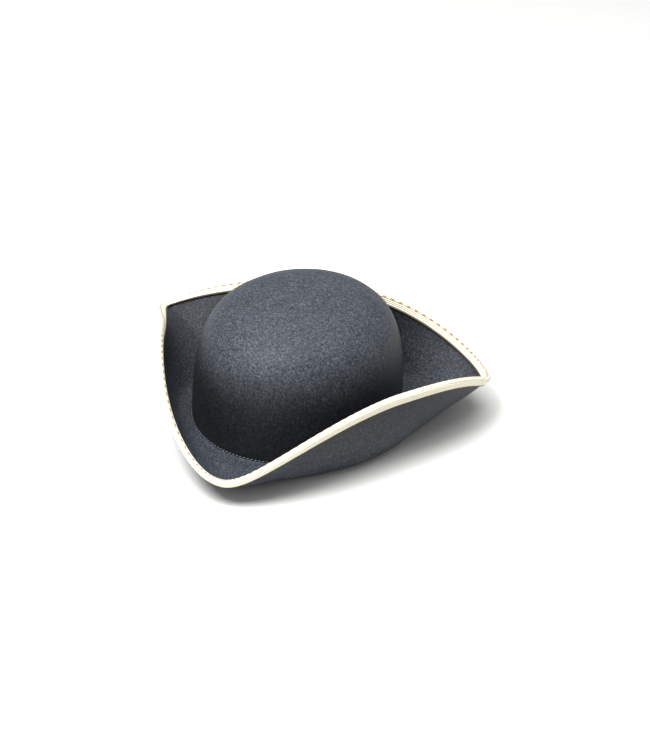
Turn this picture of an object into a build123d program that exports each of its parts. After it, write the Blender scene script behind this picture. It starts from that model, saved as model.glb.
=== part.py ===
from build123d import *
from dataclasses import dataclass
from math import cos, degrees, hypot, pi, radians, sin, sqrt
import os

# A felt tricorn hat: a moulded crown sewn to a brim that is turned up in three flaps, with a
# braid folded over the brim's edge. Millimetres. The origin is the centre of the head opening,
# on the middle of the brim's felt. +Z is up, the front corner points to -Y, and +X is the
# wearer's left. Angles are degrees round +Z from +X.

# Felt
FELT = 2.4
HALF_FELT = FELT / 2

# Crown: its footprint is the oval of a 57 cm head, measured outside the felt
CROWN_HALF_LENGTH = 105.0
CROWN_HALF_WIDTH = 86.5
CROWN_TOP = 107.8
CROWN_STRAIGHT = 14.0
CROWN_SIDE_PULL = 80.0
CROWN_TOP_PULL = 0.79

# The brim's seam allowance, turned up inside the crown
COLLAR_FELT = 2.0
COLLAR_HEIGHT = 10.0
SEAM_GAP = 0.2

# Sweatband, sewn inside the collar
BAND_THICKNESS = 1.2
BAND_HEIGHT = 34.0
BAND_RISE = 0.5
BAND_SLIT = 0.6

# Sewing thread
THREAD = 0.6
THREAD_GAP = 0.15
CROWN_SEAM_HEIGHT = 3.5
BAND_SEAM_HEIGHT = 4.0
BRAID_SEAM_INSET = 1.3

# Edge braid, folded round the brim's rim and the wire that stiffens it
BRAID_WIDTH = 8.4
BRAID_THICKNESS = 0.8
BRAID_GAP = 0.2
END_GAP = 0.5
WIRE_RADIUS = 0.6
JOINER_RADIUS = 1.05
JOINER_BORE = 0.7
JOINER_LENGTH = 12.0

# Brim: flat under the crown's edge, then bent up to the rim
LAND = 6.0
PRESSED_FLAT = 0.4
BEND_START = 8.0
BEND_END = 24.0
BEND_LIFT = 0.06

# How finely the brim is cut into cross-sections
SECTIONS_PER_HALF_FLAP = 12
SECTION_POINTS = 9
BRAID_SIDE_POINTS = 4
BRAID_FOLD_POINTS = 5
BRAID_FOLD_TURN = 60
CURVE_STEPS = 240

# Cutters reach well past what they cut
CUTTER_REACH = 1.0
CUTTER_SIZE = 500.0


@dataclass
class Corner:
    """Where two flaps meet. The bends are shares of the brim's width and of the rim's height."""

    angle: float
    radius: float
    height: float
    softness: float
    bend_start: float
    bend_end: float
    bend_lift: float


@dataclass
class Flap:
    """The brim between two corners. The radius and height are the rim's at the flap's middle."""

    first: Corner
    last: Corner
    radius: float
    height: float
    shift: float
    radius_power: float
    height_power: float

    @property
    def start(self):
        return self.first.angle

    @property
    def end(self):
        return self.last.angle + (360 if self.last.angle < self.first.angle else 0)

    @property
    def middle(self):
        return (self.start + self.end) / 2 + self.shift


FRONT = Corner(270.0, 180.0, 22.0, 0.12, 0.39, 0.66, 0.15)
LEFT_BACK = Corner(28.0, 164.0, 28.5, 0.13, 0.36, 0.59, 0.20)
RIGHT_BACK = Corner(156.5, 165.0, 39.5, 0.035, 0.12, 0.39, 0.94)

LEFT_FLAP = Flap(FRONT, LEFT_BACK, 126.0, 66.5, -1.5, 1.68, 2.90)
BACK_FLAP = Flap(LEFT_BACK, RIGHT_BACK, 118.0, 66.0, 0.5, 1.65, 2.07)
RIGHT_FLAP = Flap(RIGHT_BACK, FRONT, 117.0, 68.0, -14.0, 2.23, 1.78)
FLAPS = (LEFT_FLAP, BACK_FLAP, RIGHT_FLAP)


def between(a, b, share):
    return a + (b - a) * share


def oval_radius(half_length, half_width, angle):
    """Distance from the Z axis to an oval, in the direction of the angle."""
    turn = radians(angle)
    return 1 / sqrt((cos(turn) / half_width) ** 2 + (sin(turn) / half_length) ** 2)


def corner_share(position, softness):
    """0 at a flap's middle and 1 at its corner, rounded off at the corner by the softness."""
    short_of = 1 - abs(position)
    rounded = (sqrt(short_of**2 + softness**2) - softness) / (sqrt(1 + softness**2) - softness)
    return 1 - min(max(rounded, 0), 1)


def handles(flap, angle):
    """The four handles (radius, height) of the brim's curve from its flat land to its rim."""
    if angle < flap.middle:
        corner, position = flap.first, (flap.middle - angle) / (flap.middle - flap.start)
    else:
        corner, position = flap.last, (angle - flap.middle) / (flap.end - flap.middle)
    share = corner_share(position, corner.softness)
    out = share**flap.radius_power
    rim = between(flap.radius, corner.radius, out)
    height = between(flap.height, corner.height, share**flap.height_power)
    crown = oval_radius(CROWN_HALF_LENGTH, CROWN_HALF_WIDTH, angle)
    land = crown + LAND
    start = between(land + BEND_START, between(land, rim, corner.bend_start), out)
    end = between(crown + BEND_END, between(land, rim, corner.bend_end), out)
    lift = between(BEND_LIFT, corner.bend_lift, out) * height
    return (land, 0.0), (start, 0.0), (end, lift), (rim, height)


def middle_line(flap, angle):
    """Points along the middle of the felt: (distance back from the rim, radius, height, normal)."""
    (r0, z0), (r1, z1), (r2, z2), (r3, z3) = handles(flap, angle)
    line = []
    for step in range(CURVE_STEPS + 1):
        s = step / CURVE_STEPS
        a, b, c, d = (1 - s) ** 3, 3 * s * (1 - s) ** 2, 3 * s**2 * (1 - s), s**3
        slope_r = (1 - s) ** 2 * (r1 - r0) + 2 * s * (1 - s) * (r2 - r1) + s**2 * (r3 - r2)
        slope_z = (1 - s) ** 2 * (z1 - z0) + 2 * s * (1 - s) * (z2 - z1) + s**2 * (z3 - z2)
        size = hypot(slope_r, slope_z)
        point = (a * r0 + b * r1 + c * r2 + d * r3, a * z0 + b * z1 + c * z2 + d * z3)
        line.append([0.0, *point, -slope_z / size, slope_r / size])
    for step in range(CURVE_STEPS - 1, -1, -1):
        here, ahead = line[step], line[step + 1]
        here[0] = ahead[0] + hypot(here[1] - ahead[1], here[2] - ahead[2])
    return line


def at_distance(line, back):
    """The point of a middle line that lies this far back from the rim, and its normal."""
    for here, ahead in zip(line, line[1:]):
        if here[0] >= back >= ahead[0]:
            share = (here[0] - back) / (here[0] - ahead[0])
            return [between(p, q, share) for p, q in zip(here[1:], ahead[1:])]
    return line[0][1:]


def placed(angle, r, z):
    """A point of the cross-section at this angle, in space."""
    return Vector(r * cos(radians(angle)), r * sin(radians(angle)), z)


def offset_points(flap, angle, backs, side):
    """Points offset from the middle line, inwards when the side is positive."""
    line = middle_line(flap, angle)
    points = []
    for back in backs:
        r, z, normal_r, normal_z = at_distance(line, back)
        points.append(placed(angle, r + side * normal_r, z + side * normal_z))
    return points


def even_steps(first, last, count):
    return [between(first, last, step / (count - 1)) for step in range(count)]


def smooth_edge(points):
    """A spline through the points, with the same knots for every cross-section."""
    return Edge.make_spline(points, parameters=even_steps(0, 1, len(points)))


def section_angles(flap):
    """Angles of the cross-sections, closer together towards both corners."""
    angles = []
    for step in range(-SECTIONS_PER_HALF_FLAP, SECTIONS_PER_HALF_FLAP + 1):
        share = sin(pi / 2 * step / SECTIONS_PER_HALF_FLAP)
        reach = flap.middle - flap.start if share < 0 else flap.end - flap.middle
        angles.append(flap.middle + share * reach)
    return angles


def oval_slab(half_length, half_width, low, high):
    face = Ellipse(half_width, half_length)
    return extrude(Plane.XY.offset(low) * face, high - low)


def oval_ring(half_length, half_width, thickness, low, high):
    """An upright oval ring, with its outside at the given half sizes."""
    bottom, top = low - CUTTER_REACH, high + CUTTER_REACH
    hole = oval_slab(half_length - thickness, half_width - thickness, bottom, top)
    return oval_slab(half_length, half_width, low, high) - hole


# Distances back from the braid's fold, along the brim's curve
WIRE_BACK = BRAID_THICKNESS + BRAID_GAP + JOINER_RADIUS
FELT_BACK = WIRE_BACK + JOINER_RADIUS + BRAID_GAP
BRAID_INSIDE = HALF_FELT + BRAID_GAP
BRAID_OUTSIDE = BRAID_INSIDE + BRAID_THICKNESS

# Half sizes of the ovals inside the crown
COLLAR_HALF_LENGTH = CROWN_HALF_LENGTH - FELT - SEAM_GAP
COLLAR_HALF_WIDTH = CROWN_HALF_WIDTH - FELT - SEAM_GAP
BAND_HALF_LENGTH = COLLAR_HALF_LENGTH - COLLAR_FELT - SEAM_GAP
BAND_HALF_WIDTH = COLLAR_HALF_WIDTH - COLLAR_FELT - SEAM_GAP
OPENING_HALF_LENGTH = COLLAR_HALF_LENGTH - COLLAR_FELT
OPENING_HALF_WIDTH = COLLAR_HALF_WIDTH - COLLAR_FELT


def long_outline(flap, angle, tip, above, below):
    """A cross-section from inside the collar to a tip this far back from the braid's fold."""
    length = middle_line(flap, angle)[0][0]
    backs = even_steps(length, tip, SECTION_POINTS)
    upper = offset_points(flap, angle, backs, above)
    lower = []
    for back in backs:
        pressed = PRESSED_FLAT * (back - tip) / (length - tip)
        lower += offset_points(flap, angle, [back], -below - pressed)
    start = oval_radius(OPENING_HALF_LENGTH, OPENING_HALF_WIDTH, angle) + COLLAR_FELT / 2
    upper_start = placed(angle, start, above)
    lower_start = placed(angle, start, -below - PRESSED_FLAT)
    return Wire(
        [
            Edge.make_line(upper_start, upper[0]),
            smooth_edge(upper),
            Edge.make_line(upper[-1], lower[-1]),
            smooth_edge(lower[::-1]),
            Edge.make_line(lower[0], lower_start),
            Edge.make_line(lower_start, upper_start),
        ]
    )


def round_the_brim(tip, above, below):
    """A sheet that follows the brim's curve, this thick above and below its middle line."""
    solids = []
    for flap in FLAPS:
        outlines = [long_outline(flap, a, tip, above, below) for a in section_angles(flap)]
        solids.append(Solid.make_loft(outlines))
    return solids[0].fuse(*solids[1:]).solid()


def brim():
    """The felt brim: three flaps, with the seam allowance turned up and the underside flat."""
    flaps = round_the_brim(FELT_BACK, HALF_FELT, HALF_FELT)
    collar = oval_slab(COLLAR_HALF_LENGTH, COLLAR_HALF_WIDTH, -FELT, COLLAR_HEIGHT)
    hole = oval_slab(OPENING_HALF_LENGTH, OPENING_HALF_WIDTH, -2 * FELT, 2 * COLLAR_HEIGHT)
    below = extrude(Plane.XY.offset(-HALF_FELT) * Rectangle(CUTTER_SIZE, CUTTER_SIZE), -FELT)
    return flaps + collar - hole - below


def dome(half_length, half_width, base, top):
    """A solid dome: half its profile turned about Z, then narrowed to the oval."""
    side = Line((half_length, base), (half_length, CROWN_STRAIGHT))
    shoulder = Bezier(
        (half_length, CROWN_STRAIGHT),
        (half_length, CROWN_STRAIGHT + CROWN_SIDE_PULL),
        (half_length * CROWN_TOP_PULL, top),
        (0, top),
    )
    axis_line = Line((0, top), (0, base))
    floor = Line((0, base), (half_length, base))
    profile = make_face(Curve() + [side, shoulder, axis_line, floor])
    turned = revolve(Plane.XZ * profile, Axis.Z)
    return scale(turned, (half_width / half_length, 1, 1))


def crown():
    """The moulded felt crown, standing on the brim's land."""
    outer = dome(CROWN_HALF_LENGTH, CROWN_HALF_WIDTH, HALF_FELT, CROWN_TOP)
    inner = dome(CROWN_HALF_LENGTH - FELT, CROWN_HALF_WIDTH - FELT, -FELT, CROWN_TOP - FELT)
    return outer - inner


def round_from_the_back():
    """Flaps and angles once round the rim, from the middle of the back flap to just short of it."""
    stations = []
    for flap in FLAPS:
        stations += [(flap, angle) for angle in section_angles(flap)[:-1]]
    first = stations.index((BACK_FLAP, BACK_FLAP.middle))
    end_gap = degrees(END_GAP / BACK_FLAP.radius)
    return stations[first:] + stations[:first] + [(BACK_FLAP, BACK_FLAP.middle - end_gap)]


def fold_line(flap, angle, fold, half_width):
    """The U of the braid's inside or outside: up one face, round the fold and down the other."""
    backs = even_steps(BRAID_WIDTH, fold + half_width, BRAID_SIDE_POINTS)
    line = offset_points(flap, angle, backs, -half_width)
    for turn in even_steps(-BRAID_FOLD_TURN, BRAID_FOLD_TURN, BRAID_FOLD_POINTS):
        back = fold + half_width * (1 - cos(radians(turn)))
        line += offset_points(flap, angle, [back], half_width * sin(radians(turn)))
    line += offset_points(flap, angle, backs[::-1], half_width)
    return Wire(smooth_edge(line))


def fold_face(fold, half_width):
    lines = [fold_line(flap, a, fold, half_width) for flap, a in round_from_the_back()]
    return Shell.make_loft(lines).face()


def edge_braid():
    """The braid folded in a U over the rim, with its two ends meeting at the back."""
    outside = fold_face(0, BRAID_OUTSIDE)
    inside = fold_face(BRAID_THICKNESS, BRAID_INSIDE)
    edges = [
        Face.make_surface_from_curves(a, b) for a, b in zip(outside.edges(), inside.edges())
    ]
    return Solid(Shell([outside, inside, *edges]))


def thread_round_the_brim(back, side, radius):
    """A round thread or wire along the rim, with its two ends meeting at the back."""
    points = []
    for flap, angle in round_from_the_back():
        points += offset_points(flap, angle, [back], side)
    path = Spline(*points)
    return sweep(Plane(path @ 0, z_dir=path % 0) * Circle(radius), path, is_frenet=True)


def brim_wire():
    return thread_round_the_brim(WIRE_BACK, 0, WIRE_RADIUS)


def wire_joiner():
    """A short tube over the wire's two ends, at the middle of the back flap."""
    half_turn = degrees(JOINER_LENGTH / 2 / BACK_FLAP.radius)
    points = []
    for angle in (-half_turn, 0, half_turn):
        points += offset_points(BACK_FLAP, BACK_FLAP.middle + angle, [WIRE_BACK], 0)
    path = ThreePointArc(*points)
    end = Plane(path @ 0, z_dir=path % 0)
    return sweep(end * (Circle(JOINER_RADIUS) - Circle(JOINER_BORE)), path)


def braid_thread(side):
    """A row of stitching beside the braid's free edge, on one side of the brim."""
    back = BRAID_WIDTH - BRAID_SEAM_INSET
    offset = BRAID_OUTSIDE + THREAD / 2 + THREAD_GAP
    return thread_round_the_brim(back, side * offset, THREAD / 2)


def crown_seam_thread():
    """The row of stitches that holds the crown to the collar."""
    low = CROWN_SEAM_HEIGHT
    half_length = CROWN_HALF_LENGTH + THREAD
    return oval_ring(half_length, CROWN_HALF_WIDTH + THREAD, THREAD, low, low + THREAD)


def sweatband():
    """A strip bent to the oval, with its ends meeting at the back."""
    low = BAND_RISE
    ring = oval_ring(BAND_HALF_LENGTH, BAND_HALF_WIDTH, BAND_THICKNESS, low, low + BAND_HEIGHT)
    slit = Box(BAND_SLIT, 4 * BAND_THICKNESS, 4 * BAND_HEIGHT)
    return ring - Pos(0, BAND_HALF_LENGTH, 0) * slit


def sweatband_thread():
    """The row of stitches that holds the sweatband to the collar."""
    low = BAND_SEAM_HEIGHT
    half_length = BAND_HALF_LENGTH - BAND_THICKNESS
    half_width = BAND_HALF_WIDTH - BAND_THICKNESS
    return oval_ring(half_length, half_width, THREAD, low, low + THREAD)


def write_parts():
    os.makedirs("parts", exist_ok=True)
    parts = {
        "crown": crown(),
        "brim": brim(),
        "edge_braid": edge_braid(),
        "brim_wire": brim_wire(),
        "wire_joiner": wire_joiner(),
        "crown_stitching": crown_seam_thread(),
        "sweatband": sweatband(),
        "sweatband_stitching": sweatband_thread(),
        "braid_stitching_inside": braid_thread(1),
        "braid_stitching_outside": braid_thread(-1),
    }
    for name, shape in parts.items():
        export_step(shape, f"parts/{name}.step")


write_parts()
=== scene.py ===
"""A felt tricorn hat: felt crown and brim, folded edge braid, sweatband and their stitching.

The file is laid out as an add-on. The sizes and colours that someone would change are
properties of the scene, each kind of piece has its own operator, and a panel lists them.
"""

import math

import bmesh
import bpy
from mathutils import Matrix, Vector, noise
from mathutils.geometry import interpolate_bezier


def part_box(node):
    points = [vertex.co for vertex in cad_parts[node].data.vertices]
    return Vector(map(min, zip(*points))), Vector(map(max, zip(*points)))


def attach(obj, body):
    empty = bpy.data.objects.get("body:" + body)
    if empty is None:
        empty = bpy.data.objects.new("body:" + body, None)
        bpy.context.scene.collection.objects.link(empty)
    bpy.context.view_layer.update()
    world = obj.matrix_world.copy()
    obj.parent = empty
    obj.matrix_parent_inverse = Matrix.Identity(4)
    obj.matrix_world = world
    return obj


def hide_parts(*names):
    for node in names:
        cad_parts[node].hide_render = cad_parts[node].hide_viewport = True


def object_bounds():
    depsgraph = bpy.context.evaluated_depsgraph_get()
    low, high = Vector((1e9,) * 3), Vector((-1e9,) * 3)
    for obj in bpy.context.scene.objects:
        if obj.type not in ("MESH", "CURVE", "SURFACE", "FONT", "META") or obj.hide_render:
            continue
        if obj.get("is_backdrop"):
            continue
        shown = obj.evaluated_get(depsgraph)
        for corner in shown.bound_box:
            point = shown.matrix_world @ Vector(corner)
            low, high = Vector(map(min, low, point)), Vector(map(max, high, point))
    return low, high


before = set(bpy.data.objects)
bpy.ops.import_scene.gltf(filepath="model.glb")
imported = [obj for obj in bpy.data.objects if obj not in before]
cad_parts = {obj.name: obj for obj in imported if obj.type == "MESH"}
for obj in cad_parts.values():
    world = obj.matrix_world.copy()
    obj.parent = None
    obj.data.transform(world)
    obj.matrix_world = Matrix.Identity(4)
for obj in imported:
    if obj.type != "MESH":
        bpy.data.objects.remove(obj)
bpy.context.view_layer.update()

bl_info = {
    "name": "Felt tricorn hat",
    "version": (1, 0, 0),
    "blender": (4, 5, 0),
    "location": "View3D > Sidebar > Hat",
    "description": "Builds a felt tricorn hat round its packed parts",
    "category": "Object",
}

MM = 0.001
BODY = "root"

CROWN_LOW, CROWN_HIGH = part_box("crown")
BAND_LOW, BAND_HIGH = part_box("sweatband")

# The crown's profile: its upright foot, and the handles of the curve above it
CROWN_STRAIGHT = 14.0 * MM
CROWN_SIDE_PULL = 80.0 * MM
CROWN_TOP_PULL = 0.79

BAND_THICKNESS = 1.2 * MM
COLLAR_HEIGHT = 10.0 * MM

# The brim's curve, in millimetres, as in the parts it is built round
LAND = 6.0
BEND_START = 8.0
BEND_END = 24.0
BEND_LIFT = 0.06
BRAID_SIDE = 1.4
BRAID_THICKNESS = 0.8
FELT_BACK = 3.3
BRAID_SEAM_INSET = 1.3
CROWN_SEAM_HEIGHT = 3.5
BAND_SEAM_HEIGHT = 4.0
SEAM_GAP = 0.2

# Scale of the braid's pattern along the rim, which is about this long, in millimetres
BRAID_LENGTH = 960.0
CORD_RELIEF = 0.16
SELVEDGE_RELIEF = 0.18
LAP_STEPS = 7
LAP_LIFT = 0.75

# The share of each stitch that shows
STITCH_SHARE = 0.78

# Camera: azimuth, elevation and roll in degrees, then metres
CAMERA_ANGLES = (18.56, 27.76, -2.54)
CAMERA_DISTANCE = 2.05
CAMERA_AIM = (0.0236, 0.0284)
VIEW_HEIGHT = 0.6356

# Corners of the rim: angle, radius, height, softness, and the shares that place its bends
FRONT = (270.0, 180.0, 22.0, 0.12, 0.39, 0.66, 0.15)
LEFT_BACK = (28.0, 164.0, 28.5, 0.13, 0.36, 0.59, 0.20)
RIGHT_BACK = (156.5, 165.0, 39.5, 0.035, 0.12, 0.39, 0.94)

# Flaps: corners, rim radius and height at the middle, the middle's shift, and two powers
LEFT_FLAP = (FRONT, LEFT_BACK, 126.0, 66.5, -1.5, 1.68, 2.90)
BACK_FLAP = (LEFT_BACK, RIGHT_BACK, 118.0, 66.0, 0.5, 1.65, 2.07)
RIGHT_FLAP = (RIGHT_BACK, FRONT, 117.0, 68.0, -14.0, 2.23, 1.78)
FLAPS = (LEFT_FLAP, BACK_FLAP, RIGHT_FLAP)

# Mesh fineness
CROWN_STEPS = 96
CROWN_ROWS = 26
FLAP_STEPS = 72
BRIM_ROWS = 26
BRAID_STEPS_PER_FLAP = 150
BRAID_ROWS = 72
CURVE_STEPS = 120


# ---------------------------------------------------------------- properties


class HatSizes(bpy.types.PropertyGroup):
    felt: bpy.props.FloatProperty(
        name="Felt thickness",
        description="Thickness of the felt of the crown and the brim",
        default=2.4 * MM,
        min=1.0 * MM,
        max=5.0 * MM,
        unit="LENGTH",
    )
    unevenness: bpy.props.FloatProperty(
        name="Hand-blocked unevenness",
        description="How far the felt wanders from a perfect form",
        default=0.5 * MM,
        min=0.0,
        max=3.0 * MM,
        unit="LENGTH",
    )
    braid_width: bpy.props.FloatProperty(
        name="Braid width",
        description="Width of the braid on each face of the brim",
        default=8.4 * MM,
        min=4.0 * MM,
        max=14.0 * MM,
        unit="LENGTH",
    )
    braid_cord: bpy.props.FloatProperty(
        name="Braid cord pitch",
        description="Distance from one lengthwise cord of the braid to the next",
        default=1.7 * MM,
        min=0.8 * MM,
        max=4.0 * MM,
        unit="LENGTH",
    )
    thread: bpy.props.FloatProperty(
        name="Thread thickness",
        description="Diameter of the sewing thread",
        default=0.6 * MM,
        min=0.3 * MM,
        max=1.5 * MM,
        unit="LENGTH",
    )
    stitch: bpy.props.FloatProperty(
        name="Stitch length",
        description="Distance from one stitch to the next",
        default=3.4 * MM,
        min=1.5 * MM,
        max=8.0 * MM,
        unit="LENGTH",
    )


class HatColours(bpy.types.PropertyGroup):
    felt_dark: bpy.props.StringProperty(
        name="Felt, dark fibre",
        description="sRGB hex of the felt's dark fibres",
        default="#12191d",
    )
    felt_light: bpy.props.StringProperty(
        name="Felt, light fibre",
        description="sRGB hex of the felt's pale fibres",
        default="#5c616c",
    )
    braid_light: bpy.props.StringProperty(
        name="Braid",
        description="sRGB hex of the top of the braid's cords",
        default="#e6dfc4",
    )
    # Partly the gold thread between the cords and partly painted shade in the grooves.
    braid_groove_and_painted_shade: bpy.props.StringProperty(
        name="Braid, between cords", description="sRGB hex of the braid's grooves", default="#7d6238"
    )
    braid_fleck: bpy.props.StringProperty(
        name="Braid, gold thread",
        description="sRGB hex of the thread that shows at the fold",
        default="#8c6a3a",
    )
    # Painted shadow: the dark line along both edges of the braid.
    braid_edge_painted_shadow: bpy.props.StringProperty(
        name="Braid, selvedge", description="sRGB hex of the braid's bound edges",
        default="#3a2c1c",
    )
    thread_pale: bpy.props.StringProperty(
        name="Braid thread", description="sRGB hex of the thread through the braid", default="#d8c48f"
    )
    thread_grey: bpy.props.StringProperty(
        name="Seam thread", description="sRGB hex of the thread in the felt", default="#78828e"
    )
    band: bpy.props.StringProperty(
        name="Sweatband", description="sRGB hex of the sweatband", default="#1d1815"
    )


# ---------------------------------------------------------------- the brim's form


def between(a, b, share):
    return a + (b - a) * share


def oval_radius(half_length, half_width, angle):
    """Distance from the Z axis to an oval, in the direction of the angle, in degrees."""
    turn = math.radians(angle)
    return 1 / math.hypot(math.cos(turn) / half_width, math.sin(turn) / half_length)


def flap_span(flap):
    """Start, middle and end angles of a flap."""
    start, end = flap[0][0], flap[1][0]
    if end < start:
        end += 360
    return start, (start + end) / 2 + flap[4], end


def corner_share(position, softness):
    """0 at a flap's middle and 1 at its corner, rounded off there by the softness."""
    short_of = 1 - abs(position)
    rounded = math.hypot(short_of, softness) - softness
    return 1 - min(max(rounded / (math.hypot(1, softness) - softness), 0), 1)


def brim_curve(flap, angle):
    """Points down the brim's cross-section, in millimetres: (back from the rim, r, z, normal)."""
    start, middle, end = flap_span(flap)
    if angle < middle:
        corner, position = flap[0], (middle - angle) / (middle - start)
    else:
        corner, position = flap[1], (angle - middle) / (end - middle)
    share = corner_share(position, corner[3])
    out = share ** flap[5]
    rim = between(flap[2], corner[1], out)
    height = between(flap[3], corner[2], share ** flap[6])
    crown = oval_radius(CROWN_HIGH.y / MM, CROWN_HIGH.x / MM, angle)
    land = crown + LAND
    first = between(land + BEND_START, between(land, rim, corner[4]), out)
    last = between(crown + BEND_END, between(land, rim, corner[5]), out)
    lift = between(BEND_LIFT, corner[6], out) * height
    line = interpolate_bezier(
        Vector((land, 0)), Vector((first, 0)), Vector((last, lift)), Vector((rim, height)),
        CURVE_STEPS,
    )
    curve, back = [], 0.0
    for here, inner in zip(reversed(line), list(reversed(line))[1:] + [None]):
        slope = (here - inner).normalized() if inner else Vector((1, 0))
        curve.append((back, here.x, here.y, Vector((-slope.y, slope.x))))
        if inner:
            back += (here - inner).length
    return curve


def down_the_curve(curve, back):
    """The point this far back from the rim, as radius, height and normal."""
    for here, beyond in zip(curve, curve[1:]):
        if here[0] <= back <= beyond[0]:
            share = (back - here[0]) / max(beyond[0] - here[0], 1e-9)
            return (
                between(here[1], beyond[1], share),
                between(here[2], beyond[2], share),
                here[3].lerp(beyond[3], share),
            )
    return curve[-1][1], curve[-1][2], curve[-1][3]


def placed_round(angle, r, z):
    """The point at this angle, in degrees, radius and height."""
    turn = math.radians(angle)
    return Vector((r * math.cos(turn), r * math.sin(turn), z))


def beside_the_brim(curve, angle, back, offset):
    """A point in metres, this far back from the rim and off the felt's middle."""
    r, z, normal = down_the_curve(curve, back)
    return placed_round(angle, (r + offset * normal.x) * MM, (z + offset * normal.y) * MM)


def round_the_rim(steps):
    """Flap and angle of each step once round the rim from the front, closer at the corners."""
    stations = []
    for flap in FLAPS:
        start, middle, end = flap_span(flap)
        for step in range(steps):
            share = math.sin(math.pi * (step / steps - 0.5))
            reach = middle - start if share < 0 else end - middle
            stations.append((flap, middle + share * reach))
    return stations


def from_the_back(stations):
    """The same stations, starting at the middle of the back flap."""
    middle = flap_span(BACK_FLAP)[1]
    first = next(i for i, (flap, angle) in enumerate(stations)
                 if flap is BACK_FLAP and angle >= middle - 1e-6)
    return stations[first:] + stations[:first]


# ---------------------------------------------------------------- meshes


def finished(bm, name, node, material):
    """Turns the bmesh into a piece that stands for a part, with its material."""
    mesh = bpy.data.meshes.new(name)
    bm.to_mesh(mesh)
    bm.free()
    mesh.polygons.foreach_set("use_smooth", [True] * len(mesh.polygons))
    piece = bpy.data.objects.new(name, mesh)
    bpy.context.scene.collection.objects.link(piece)
    mesh.materials.append(material)
    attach(piece, BODY)
    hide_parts(node)
    return piece


def thicken(piece, thickness, offset):
    wall = piece.modifiers.new("wall", "SOLIDIFY")
    wall.thickness = thickness
    wall.offset = offset
    wall.use_even_offset = True
    wall.use_quality_normals = True


def smooth_out(piece):
    finer = piece.modifiers.new("finer", "SUBSURF")
    finer.levels = 1
    finer.render_levels = 1


def wander(point, amount):
    """A slow, even wander of the felt, the same in every run."""
    return amount * noise.noise(point * 22.0) + 0.4 * amount * noise.noise(point * 60.0)


def sheet_grid(bm, across, rows):
    """A flat grid; returns its vertices by column and row, to be laid over a form."""
    bmesh.ops.create_grid(bm, x_segments=across, y_segments=rows, size=1.0)
    placed = {}
    for vert in bm.verts:
        column = round((vert.co.x + 1) / 2 * across)
        row = round((vert.co.y + 1) / 2 * rows)
        placed[column, row] = vert
    return placed


def lay_uv(bm, placed, width, height):
    """UV in millimetres along and across the sheet, so that a woven pattern follows it."""
    index = {vert: spot for spot, vert in placed.items()}
    layer = bm.loops.layers.uv.new("UVMap")
    for face in bm.faces:
        for loop in face.loops:
            column, row = index[loop.vert]
            loop[layer].uv = (column * width, row * height)


# ---------------------------------------------------------------- materials


def linear(hex_colour):
    """sRGB hex to the linear RGBA that shaders use."""
    parts = [int(hex_colour[i : i + 2], 16) / 255 for i in (1, 3, 5)]
    return [p / 12.92 if p <= 0.04045 else ((p + 0.055) / 1.055) ** 2.4 for p in parts] + [1.0]


def add(tree, kind, settings=None, **sockets):
    """Adds a node. A socket given another node's output is linked, and any other value is set."""
    node = tree.nodes.new(kind)
    for name, value in (settings or {}).items():
        setattr(node, name, value)
    for name, value in sockets.items():
        key = int(name[1:]) if name[0] == "_" and name[1:].isdigit() else name.replace("_", " ")
        if isinstance(value, bpy.types.NodeSocket):
            tree.links.new(value, node.inputs[key])
        else:
            node.inputs[key].default_value = value
    return node


def new_material(name):
    material = bpy.data.materials.new(name)
    material.use_nodes = True
    material.node_tree.nodes.clear()
    return material, material.node_tree


def close(tree, shader):
    add(tree, "ShaderNodeOutputMaterial", Surface=shader.outputs["BSDF"])


def ramp(tree, fac, stops):
    """A colour ramp with the given (position, colour) stops."""
    node = add(tree, "ShaderNodeValToRGB", Fac=fac)
    elements = node.color_ramp.elements
    while len(elements) < len(stops):
        elements.new(0.5)
    for element, (position, colour) in zip(elements, stops):
        element.position = position
        element.color = colour
    return node


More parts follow.
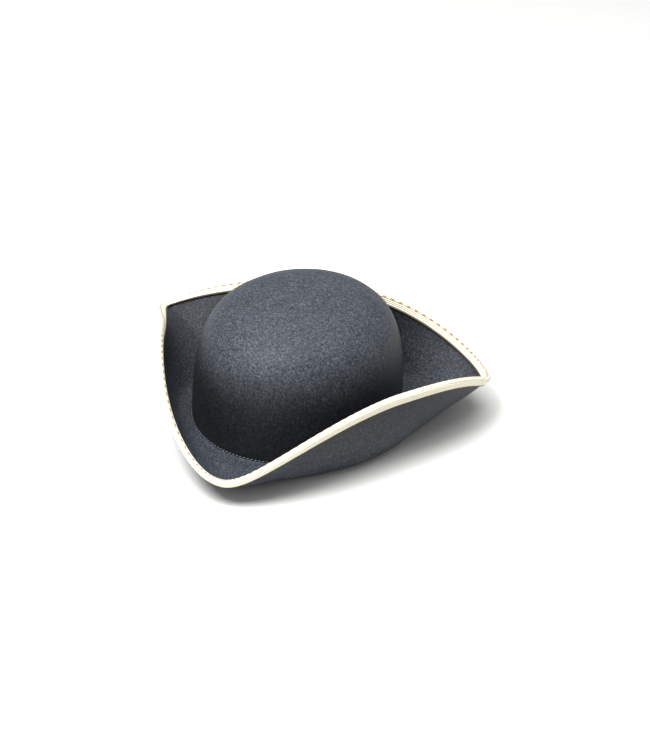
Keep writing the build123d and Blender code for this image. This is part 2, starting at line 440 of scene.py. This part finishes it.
def needle_felt(name, colours, low, high, low_shade, high_shade):
    """Wool felt: matted fibres give fine pale flecks and soft blotches.

    The colour is scaled by a painted shade: one factor at the low height, changing smoothly to
    another at the high one. This deepens the contrast past what the lights give.
    """
    material, tree = new_material(name)
    where = add(tree, "ShaderNodeTexCoord").outputs["Object"]
    # Flecks are drawn at about 1.6 mm, which is coarser than the fibres.
    flecks = add(tree, "ShaderNodeTexNoise", Vector=where, Scale=620.0, Detail=2.5, Roughness=0.6)
    tufts = add(tree, "ShaderNodeTexNoise", Vector=where, Scale=300.0, Detail=3.0, Roughness=0.6,
                Distortion=0.6)
    blotches = add(tree, "ShaderNodeTexNoise", Vector=where, Scale=45.0, Detail=2.0)
    mixed = add(tree, "ShaderNodeMath", {"operation": "MULTIPLY_ADD"},
                _0=tufts.outputs["Fac"], _1=0.3, _2=flecks.outputs["Fac"])
    mixed = add(tree, "ShaderNodeMath", {"operation": "MULTIPLY_ADD"},
                _0=blotches.outputs["Fac"], _1=0.1, _2=mixed.outputs[0])
    tone = add(tree, "ShaderNodeMapRange", Value=mixed.outputs[0], From_Min=0.48, From_Max=0.92)
    middle = [between(a, b, 0.38) for a, b in
              zip(linear(colours.felt_dark), linear(colours.felt_light))]
    colour = ramp(tree, tone.outputs["Result"], [
        (0.0, linear(colours.felt_dark)), (0.55, middle), (1.0, linear(colours.felt_light)),
    ])
    # Painted shade: the colour is darkened by height, from one factor at the low height to another at
    # the high one.
    height = add(tree, "ShaderNodeSeparateXYZ", Vector=where)
    shade = add(tree, "ShaderNodeMapRange", {"interpolation_type": "SMOOTHSTEP"},
                Value=height.outputs["Z"], From_Min=low, From_Max=high,
                To_Min=low_shade, To_Max=high_shade)
    shaded = add(tree, "ShaderNodeVectorMath", {"operation": "SCALE"},
                 _0=colour.outputs["Color"], Scale=shade.outputs["Result"])
    relief = add(tree, "ShaderNodeBump", Strength=0.55, Distance=0.0006, Height=mixed.outputs[0])
    shader = add(
        tree, "ShaderNodeBsdfPrincipled",
        Base_Color=shaded.outputs["Vector"], Roughness=0.6, Normal=relief.outputs["Normal"],
        Specular_IOR_Level=0.3, Sheen_Weight=0.02, Sheen_Roughness=0.5,
        Sheen_Tint=linear("#8d95a3"),
    )
    close(tree, shader)
    return material


def braid_wrap(sizes):
    """Length of the braid's outside across the fold, in millimetres."""
    side = BRAID_SIDE + BRAID_THICKNESS
    return 2 * (sizes.braid_width / MM - side) + math.pi * side


def edge_braid_weave(sizes, colours):
    """Rayon and metal-thread braid: plaited cords, with a painted highlight on their tops and darker
    grooves, partly gold thread and partly painted shade.
    """
    material, tree = new_material("folded rayon braid")
    uv = add(tree, "ShaderNodeUVMap", {"uv_map": "UVMap"}).outputs["UV"]
    parts = add(tree, "ShaderNodeSeparateXYZ", Vector=uv)
    pitch = sizes.braid_cord / MM
    turn = add(tree, "ShaderNodeMath", {"operation": "MULTIPLY"},
               _0=parts.outputs["Y"], _1=2 * math.pi / pitch)
    cords = add(tree, "ShaderNodeMath", {"operation": "COSINE"}, _0=turn.outputs[0])
    # Plaits slant across each cord, 1.3 mm from one to the next.
    slant = add(tree, "ShaderNodeMath", {"operation": "MULTIPLY_ADD"},
                _0=parts.outputs["X"], _1=2 * math.pi / 1.3, _2=turn.outputs[0])
    plaits = add(tree, "ShaderNodeMath", {"operation": "SINE"}, _0=slant.outputs[0])
    grain = add(tree, "ShaderNodeTexNoise", Vector=uv, Scale=0.9, Detail=4.0, Roughness=0.6)
    height = add(tree, "ShaderNodeMath", {"operation": "MULTIPLY_ADD"},
                 _0=plaits.outputs[0], _1=0.35, _2=cords.outputs[0])
    tone = add(tree, "ShaderNodeMath", {"operation": "MULTIPLY_ADD"},
               _0=grain.outputs["Fac"], _1=1.6, _2=height.outputs[0])
    cord_tone_with_painted_shading = add(tree, "ShaderNodeMapRange", Value=tone.outputs[0], From_Min=-0.7, From_Max=1.5)
    # A dark line of painted shadow runs along each selvedge. A gold thread runs inside the fold,
    # and comes to the surface every 5.5 mm.
    out = add(tree, "ShaderNodeMath", {"operation": "SUBTRACT"}, _0=parts.outputs["Y"],
              _1=braid_wrap(sizes) / 2)
    out = add(tree, "ShaderNodeMath", {"operation": "ABSOLUTE"}, _0=out.outputs[0])
    selvedge = add(tree, "ShaderNodeMapRange", Value=out.outputs[0],
                   From_Min=braid_wrap(sizes) / 2 - 1.3, From_Max=braid_wrap(sizes) / 2 - 1.0)
    gold_line = add(tree, "ShaderNodeMath", {"operation": "SUBTRACT"}, _0=parts.outputs["Y"],
                    _1=braid_wrap(sizes) / 2 + 2.1)
    gold_line = add(tree, "ShaderNodeMath", {"operation": "ABSOLUTE"}, _0=gold_line.outputs[0])
    at_fold = add(tree, "ShaderNodeMapRange", Value=gold_line.outputs[0], From_Min=1.2,
                  From_Max=0.8)
    beat = add(tree, "ShaderNodeMath", {"operation": "MULTIPLY"}, _0=parts.outputs["X"],
               _1=2 * math.pi / 5.5)
    beat = add(tree, "ShaderNodeMath", {"operation": "SINE"}, _0=beat.outputs[0])
    fleck = add(tree, "ShaderNodeMapRange", Value=beat.outputs[0], From_Min=0.0, From_Max=0.5,
                To_Min=0.35, To_Max=0.9)
    fleck = add(tree, "ShaderNodeMath", {"operation": "MULTIPLY"}, _0=fleck.outputs["Result"],
                _1=at_fold.outputs["Result"])
    # Painted shade darkens the grooves, which are partly the gold thread's own colour, and a painted
    # highlight pales the cord tops.
    colour = ramp(tree, cord_tone_with_painted_shading.outputs["Result"], [
        (0.0, linear(colours.braid_groove_and_painted_shade)), (0.45, linear(colours.braid_light)),
        (1.0, linear("#f1ecd8")),
    ])
    gold = add(tree, "ShaderNodeMix", {"data_type": "RGBA"}, _0=fleck.outputs[0],
               _6=colour.outputs["Color"], _7=linear(colours.braid_fleck))
    shadow_painted = add(tree, "ShaderNodeMix", {"data_type": "RGBA"}, _0=selvedge.outputs["Result"],
                _6=gold.outputs[2], _7=linear(colours.braid_edge_painted_shadow))
    relief = add(tree, "ShaderNodeBump", Strength=0.5, Distance=0.0003, Height=height.outputs[0])
    shader = add(
        tree, "ShaderNodeBsdfPrincipled",
        Base_Color=shadow_painted.outputs[2], Roughness=0.5, Normal=relief.outputs["Normal"],
        Sheen_Weight=0.15, Sheen_Roughness=0.3,
    )
    close(tree, shader)
    return material


def spun_thread(name, hex_colour):
    """Spun polyester thread: a soft gleam broken up by its twist."""
    material, tree = new_material(name)
    where = add(tree, "ShaderNodeTexCoord").outputs["Object"]
    twist = add(tree, "ShaderNodeTexNoise", Vector=where, Scale=1800.0, Detail=2.0)
    dark = [c * 0.55 for c in linear(hex_colour)[:3]] + [1.0]
    colour = ramp(tree, twist.outputs["Fac"], [(0.3, dark), (0.65, linear(hex_colour))])
    relief = add(tree, "ShaderNodeBump", Strength=0.4, Distance=0.0001,
                 Height=twist.outputs["Fac"])
    shader = add(tree, "ShaderNodeBsdfPrincipled", Base_Color=colour.outputs["Color"],
                 Roughness=0.55, Normal=relief.outputs["Normal"], Sheen_Weight=0.2)
    close(tree, shader)
    return material


def grained_leatherette(colours):
    """Embossed leatherette: small pebbles with worn, slightly glossier tops."""
    material, tree = new_material("embossed leatherette")
    where = add(tree, "ShaderNodeTexCoord").outputs["Object"]
    # The emboss is about 1 mm from pebble to pebble.
    pebbles = add(tree, "ShaderNodeTexVoronoi", {"feature": "SMOOTH_F1"}, Vector=where,
                  Scale=950.0, Smoothness=0.6)
    wear = add(tree, "ShaderNodeTexNoise", Vector=where, Scale=60.0, Detail=3.0)
    base = linear(colours.band)
    worn = [min(c * 2.4 + 0.01, 1.0) for c in base[:3]] + [1.0]
    colour = ramp(tree, wear.outputs["Fac"], [(0.35, base), (0.75, worn)])
    gloss = add(tree, "ShaderNodeMapRange", Value=pebbles.outputs["Distance"], To_Min=0.42,
                To_Max=0.68)
    relief = add(tree, "ShaderNodeBump", {"invert": True}, Strength=0.5, Distance=0.0003,
                 Height=pebbles.outputs["Distance"])
    shader = add(tree, "ShaderNodeBsdfPrincipled", Base_Color=colour.outputs["Color"],
                 Roughness=gloss.outputs["Result"], Normal=relief.outputs["Normal"])
    close(tree, shader)
    return material


def drawn_metal(name, hex_colour, roughness):
    """Drawn metal: a plain metal gloss with faint streaks along the draw."""
    material, tree = new_material(name)
    where = add(tree, "ShaderNodeTexCoord").outputs["Object"]
    streaks = add(tree, "ShaderNodeTexNoise", Vector=where, Scale=400.0, Detail=3.0)
    uneven = add(tree, "ShaderNodeMapRange", Value=streaks.outputs["Fac"],
                 To_Min=roughness - 0.08, To_Max=roughness + 0.12)
    shader = add(tree, "ShaderNodeBsdfPrincipled", Base_Color=linear(hex_colour), Metallic=1.0,
                 Roughness=uneven.outputs["Result"])
    close(tree, shader)
    return material


# ---------------------------------------------------------------- pieces


class HAT_OT_crown(bpy.types.Operator):
    """Block the felt crown: a profile turned round, then pressed to the oval of a head"""

    bl_idname = "hat.crown"
    bl_label = "Felt crown"

    def execute(self, context):
        sizes, colours = context.scene.hat_sizes, context.scene.hat_colours
        radius, base, top = CROWN_HIGH.y, CROWN_LOW.z, CROWN_HIGH.z
        corner = Vector((radius, 0, CROWN_STRAIGHT))
        profile = [Vector((radius, 0, base)), Vector((radius, 0, (base + CROWN_STRAIGHT) / 2))]
        profile += interpolate_bezier(
            corner, corner + Vector((0, 0, CROWN_SIDE_PULL)),
            Vector((radius * CROWN_TOP_PULL, 0, top)), Vector((0, 0, top)), CROWN_ROWS,
        )
        bm = bmesh.new()
        verts = [bm.verts.new(point) for point in profile]
        edges = [bm.edges.new(pair) for pair in zip(verts, verts[1:])]
        bmesh.ops.spin(bm, geom=verts + edges, cent=(0, 0, 0), axis=(0, 0, 1),
                       angle=2 * math.pi, steps=CROWN_STEPS, use_merge=True)
        bmesh.ops.remove_doubles(bm, verts=bm.verts, dist=1e-6)
        bmesh.ops.scale(bm, vec=(CROWN_HIGH.x / radius, 1, 1), verts=bm.verts)
        bmesh.ops.recalc_face_normals(bm, faces=bm.faces)
        bm.normal_update()
        for vert in bm.verts:
            settled = min((vert.co.z - base) / (20 * MM), 1)
            vert.co += vert.normal * wander(vert.co, sizes.unevenness) * settled
        # Painted shade: the crown's felt is darkest at its foot and paler towards the top.
        felt = needle_felt("blocked wool felt with painted shade", colours, 42 * MM, 90 * MM, 0.22, 0.9)
        piece = finished(bm, "felt_crown", "crown", felt)
        thicken(piece, sizes.felt, -1)
        smooth_out(piece)
        return {"FINISHED"}


class HAT_OT_brim(bpy.types.Operator):
    """Lay a sheet of felt over the three flaps, with its seam allowance turned up inside"""

    bl_idname = "hat.brim"
    bl_label = "Felt brim"

    def execute(self, context):
        sizes, colours = context.scene.hat_sizes, context.scene.hat_colours
        stations = round_the_rim(FLAP_STEPS)
        stations.append(stations[0])
        bm = bmesh.new()
        placed = sheet_grid(bm, len(stations) - 1, BRIM_ROWS)
        felt_mm = sizes.felt / MM
        collar = felt_mm * 1.5 + SEAM_GAP
        length, width = CROWN_HIGH.y / MM - collar, CROWN_HIGH.x / MM - collar
        for column, (flap, angle) in enumerate(stations):
            curve = brim_curve(flap, angle)
            inner = oval_radius(length, width, angle) * MM
            placed[column, 0].co = placed_round(angle, inner, 0)
            for row in range(1, BRIM_ROWS + 1):
                share = (row - 1) / (BRIM_ROWS - 1)
                back = between(curve[-1][0], FELT_BACK, share)
                spot = beside_the_brim(curve, angle, back, 0)
                lean = wander(spot, sizes.unevenness) * min(share * 2, 1) * 1.4
                placed[column, row].co = beside_the_brim(curve, angle, back, lean / MM)
        bmesh.ops.remove_doubles(bm, verts=bm.verts, dist=1e-6)
        inner_loop = [e for e in bm.edges if e.is_boundary
                      and max(v.co.to_2d().length for v in e.verts) < 1.02 * length * MM]
        up = bmesh.ops.extrude_edge_only(bm, edges=inner_loop)["geom"]
        raised = [g for g in up if isinstance(g, bmesh.types.BMVert)]
        bmesh.ops.translate(bm, vec=(0, 0, COLLAR_HEIGHT), verts=raised)
        bmesh.ops.recalc_face_normals(bm, faces=bm.faces)
        # Painted shade: the brim's felt is paler near the crown's foot and darker higher up the
        # flaps.
        felt = needle_felt("pressed wool felt with painted shade", colours, 4 * MM, 55 * MM, 0.85, 0.34)
        piece = finished(bm, "felt_brim", "brim", felt)
        thicken(piece, sizes.felt, 0)
        smooth_out(piece)
        return {"FINISHED"}


class HAT_OT_braid(bpy.types.Operator):
    """Fold the corded braid over the rim, lapped at the middle of the back"""

    bl_idname = "hat.braid"
    bl_label = "Edge braid"

    def execute(self, context):
        sizes, colours = context.scene.hat_sizes, context.scene.hat_colours
        stations = from_the_back(round_the_rim(BRAID_STEPS_PER_FLAP))
        stations += stations[: LAP_STEPS + 1]
        width = sizes.braid_width / MM
        side = BRAID_SIDE + BRAID_THICKNESS
        fold = math.pi * side
        flat = width - side
        whole = braid_wrap(sizes)
        pitch = sizes.braid_cord / MM
        bm = bmesh.new()
        placed = sheet_grid(bm, len(stations) - 1, BRAID_ROWS)
        lay_uv(bm, placed, BRAID_LENGTH / (len(stations) - 1), whole / BRAID_ROWS)
        for column, (flap, angle) in enumerate(stations):
            curve = brim_curve(flap, angle)
            lapped = column - (len(stations) - 1 - LAP_STEPS)
            raised = LAP_LIFT * min(max(lapped / 2 + 1, 0), 1)
            for row in range(BRAID_ROWS + 1):
                along = row / BRAID_ROWS * whole
                selvedge = min(along, whole - along)
                swell = CORD_RELIEF * math.cos(2 * math.pi * along / pitch)
                swell += SELVEDGE_RELIEF * max(1 - selvedge / pitch, 0)
                reach = side + raised + swell - CORD_RELIEF
                if along < flat:
                    spot = beside_the_brim(curve, angle, width - along, -reach)
                elif along > flat + fold:
                    spot = beside_the_brim(curve, angle, width - (whole - along), reach)
                else:
                    turn = (along - flat) / side - math.pi / 2
                    r, z, normal = down_the_curve(curve, side)
                    tip = Vector((normal.y, -normal.x))
                    r += reach * (math.cos(turn) * tip.x + math.sin(turn) * normal.x)
                    z += reach * (math.cos(turn) * tip.y + math.sin(turn) * normal.y)
                    spot = placed_round(angle, r * MM, z * MM)
                placed[column, row].co = spot
        bmesh.ops.reverse_faces(bm, faces=bm.faces)
        weave = edge_braid_weave(sizes, colours)
        piece = finished(bm, "folded_edge_braid", "edge_braid", weave)
        thicken(piece, (BRAID_THICKNESS - 0.2) * MM, -1)
        return {"FINISHED"}


def add_stitch(bm, centre, along, out, length, thickness):
    """One stitch: a slim bead of thread, half sunk into what it holds."""
    along, out = along.normalized(), out.normalized()
    side = out.cross(along).normalized()
    out = along.cross(side)
    turn = Matrix((along, side, out)).transposed().to_4x4()
    size = Matrix.Diagonal((length / 2, thickness / 2, thickness / 2, 1))
    bmesh.ops.create_uvsphere(bm, u_segments=6, v_segments=6, radius=1.0,
                              matrix=Matrix.Translation(centre) @ turn @ size)


def stitches_along(bm, points, normals, stitch, thickness):
    """A row of stitches at equal steps along a closed line of points."""
    walked, target = 0.0, stitch / 2
    for here, ahead, normal in zip(points, points[1:] + points[:1], normals):
        step = (ahead - here).length
        while step > 0 and target <= walked + step:
            centre = here.lerp(ahead, (target - walked) / step)
            add_stitch(bm, centre, ahead - here, normal, stitch * STITCH_SHARE, thickness)
            target += stitch
        walked += step


def oval_line(half_length, half_width, height, steps=360):
    """Points and outward normals round an oval, in metres."""
    points, normals = [], []
    for step in range(steps):
        turn = 2 * math.pi * step / steps
        x, y = math.cos(turn), math.sin(turn)
        points.append(Vector((x * half_width, y * half_length, height)))
        normals.append(Vector((x * half_length, y * half_width, 0)))
    return points, normals


class HAT_OT_stitching(bpy.types.Operator):
    """Sew the braid to the felt, the crown to the brim and the sweatband to the collar"""

    bl_idname = "hat.stitching"
    bl_label = "Stitching"

    def execute(self, context):
        sizes, colours = context.scene.hat_sizes, context.scene.hat_colours
        pale = spun_thread("pale spun thread", colours.thread_pale)
        grey = spun_thread("grey spun thread", colours.thread_grey)
        stations = from_the_back(round_the_rim(60))
        back = sizes.braid_width / MM - BRAID_SEAM_INSET
        for side, word in ((1, "inside"), (-1, "outside")):
            offset = side * (BRAID_SIDE + BRAID_THICKNESS)
            curves = [(brim_curve(flap, angle), angle) for flap, angle in stations]
            points = [beside_the_brim(curve, angle, back, offset) for curve, angle in curves]
            normals = [beside_the_brim(curve, angle, back, 2 * offset) - point
                       for (curve, angle), point in zip(curves, points)]
            bm = bmesh.new()
            stitches_along(bm, points, normals, sizes.stitch, sizes.thread)
            finished(bm, f"braid_stitches_{word}", f"braid_stitching_{word}", pale)
        rows = (
            ("crown_stitches", "crown_stitching", CROWN_HIGH.y, CROWN_HIGH.x,
             CROWN_SEAM_HEIGHT, 1),
            ("sweatband_stitches", "sweatband_stitching", BAND_HIGH.y - BAND_THICKNESS,
             BAND_HIGH.x - BAND_THICKNESS, BAND_SEAM_HEIGHT, -1),
        )
        for name, node, half_length, half_width, height, side in rows:
            points, normals = oval_line(half_length, half_width, height * MM)
            bm = bmesh.new()
            facing = [normal * side for normal in normals]
            stitches_along(bm, points, facing, sizes.stitch, sizes.thread)
            finished(bm, name, node, grey)
        return {"FINISHED"}


class HAT_OT_sweatband(bpy.types.Operator):
    """Bend the sweatband to the head opening, with its ends meeting at the back"""

    bl_idname = "hat.sweatband"
    bl_label = "Sweatband"

    def execute(self, context):
        colours = context.scene.hat_colours
        around, rows = 180, 12
        gap = math.radians(0.35)
        bm = bmesh.new()
        placed = sheet_grid(bm, around, rows)
        half_length, half_width = BAND_HIGH.y - BAND_THICKNESS, BAND_HIGH.x - BAND_THICKNESS
        for (column, row), vert in placed.items():
            turn = math.pi / 2 + gap + column / around * (2 * math.pi - 2 * gap)
            up = row / rows
            lean = -1.6 * MM * up**2 + 0.35 * MM * math.exp(-((up - 0.06) * 14) ** 2)
            vert.co = (
                (half_width + lean) * math.cos(turn),
                (half_length + lean) * math.sin(turn),
                between(BAND_LOW.z, BAND_HIGH.z, up),
            )
        hide = grained_leatherette(colours)
        piece = finished(bm, "sweatband_strip", "sweatband", hide)
        thicken(piece, BAND_THICKNESS, 1)
        edge = piece.modifiers.new("cut edge", "BEVEL")
        edge.width = 0.35 * MM
        edge.segments = 2
        edge.limit_method = "ANGLE"
        return {"FINISHED"}


class HAT_OT_wire(bpy.types.Operator):
    """Give the brim wire and its joiner, hidden in the braid's fold, their metals"""

    bl_idname = "hat.wire"
    bl_label = "Wire and joiner"

    def execute(self, context):
        metals = (
            ("brim_wire", drawn_metal("drawn steel wire", "#9a9a98", 0.35)),
            ("wire_joiner", drawn_metal("drawn brass tube", "#c9a45a", 0.3)),
        )
        for node, metal in metals:
            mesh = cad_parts[node].data
            mesh.materials.clear()
            mesh.materials.append(metal)
        return {"FINISHED"}


# ---------------------------------------------------------------- stage


def aimed(name, data, place, target):
    """A light or camera at a place, turned to a target."""
    thing = bpy.data.objects.new(name, data)
    thing.location = place
    thing.rotation_euler = (Vector(target) - Vector(place)).to_track_quat("-Z", "Y").to_euler()
    bpy.context.scene.collection.objects.link(thing)
    return thing


def area_light(name, place, target, size, power):
    data = bpy.data.lights.new(name, "AREA")
    data.shape = "DISK"
    data.size = size
    data.energy = power
    return aimed(name, data, place, target)


class HAT_OT_stage(bpy.types.Operator):
    """Set the floor, the lights and the camera"""

    bl_idname = "hat.stage"
    bl_label = "Stage"

    def execute(self, context):
        scene = context.scene
        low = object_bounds()[0].z
        bm = bmesh.new()
        bmesh.ops.create_grid(bm, x_segments=1, y_segments=1, size=6.0)
        bmesh.ops.translate(bm, vec=(0, 0, low - 0.0005), verts=bm.verts)
        mesh = bpy.data.meshes.new("floor")
        bm.to_mesh(mesh)
        bm.free()
        floor = bpy.data.objects.new("floor", mesh)
        scene.collection.objects.link(floor)
        material, tree = new_material("matte white paper")
        close(tree, add(tree, "ShaderNodeBsdfPrincipled", Base_Color=linear("#e6e6e4"),
                        Roughness=0.9))
        mesh.materials.append(material)
        floor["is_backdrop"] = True

        world = bpy.data.worlds.new("studio")
        world.use_nodes = True
        world.node_tree.nodes["Background"].inputs["Color"].default_value = (1, 1, 1, 1)
        world.node_tree.nodes["Background"].inputs["Strength"].default_value = 0.45
        scene.world = world
        scene.view_settings.view_transform = "Standard"

        centre = (0, 0, 0.05)
        area_light("overhead softbox", (0, 0, 2.2), centre, 2.6, 48)
        area_light("key softbox", (-0.35, -0.85, 1.4), centre, 0.8, 30)

        azimuth, elevation, roll = (math.radians(angle) for angle in CAMERA_ANGLES)
        back = Vector((
            math.sin(azimuth) * math.cos(elevation), -math.cos(azimuth) * math.cos(elevation),
            math.sin(elevation),
        ))
        level = Vector((math.cos(azimuth), math.sin(azimuth), 0))
        upright = back.cross(level)
        right = level * math.cos(roll) - upright * math.sin(roll)
        up = level * math.sin(roll) + upright * math.cos(roll)
        target = right * CAMERA_AIM[0] + up * CAMERA_AIM[1]
        place = back * CAMERA_DISTANCE
        away = (place - target).normalized()
        right = up.cross(away).normalized()
        up = away.cross(right)
        data = bpy.data.cameras.new("camera")
        data.sensor_width = 36.0
        data.lens = data.sensor_width * CAMERA_DISTANCE / VIEW_HEIGHT
        camera = bpy.data.objects.new("camera", data)
        camera.matrix_world = (
            Matrix.Translation(place) @ Matrix((right, up, away)).transposed().to_4x4()
        )
        scene.collection.objects.link(camera)
        scene.camera = camera
        return {"FINISHED"}


class HAT_PT_panel(bpy.types.Panel):
    bl_idname = "HAT_PT_panel"
    bl_label = "Felt tricorn hat"
    bl_space_type = "VIEW_3D"
    bl_region_type = "UI"
    bl_category = "Hat"

    def draw(self, context):
        column = self.layout.column()
        for group in (context.scene.hat_sizes, context.scene.hat_colours):
            for name in group.__annotations__:
                column.prop(group, name)
        for operator in OPERATORS:
            column.operator(operator.bl_idname)


OPERATORS = (
    HAT_OT_crown, HAT_OT_brim, HAT_OT_braid, HAT_OT_stitching, HAT_OT_sweatband, HAT_OT_wire,
    HAT_OT_stage,
)
CLASSES = (HatSizes, HatColours, *OPERATORS, HAT_PT_panel)


def register():
    for item in CLASSES:
        bpy.utils.register_class(item)
    bpy.types.Scene.hat_sizes = bpy.props.PointerProperty(type=HatSizes)
    bpy.types.Scene.hat_colours = bpy.props.PointerProperty(type=HatColours)


def unregister():
    del bpy.types.Scene.hat_colours
    del bpy.types.Scene.hat_sizes
    for item in reversed(CLASSES):
        bpy.utils.unregister_class(item)


def main():
    register()
    for operator in OPERATORS:
        group, name = operator.bl_idname.split(".")
        getattr(getattr(bpy.ops, group), name)()


if __name__ == "__main__":
    main()
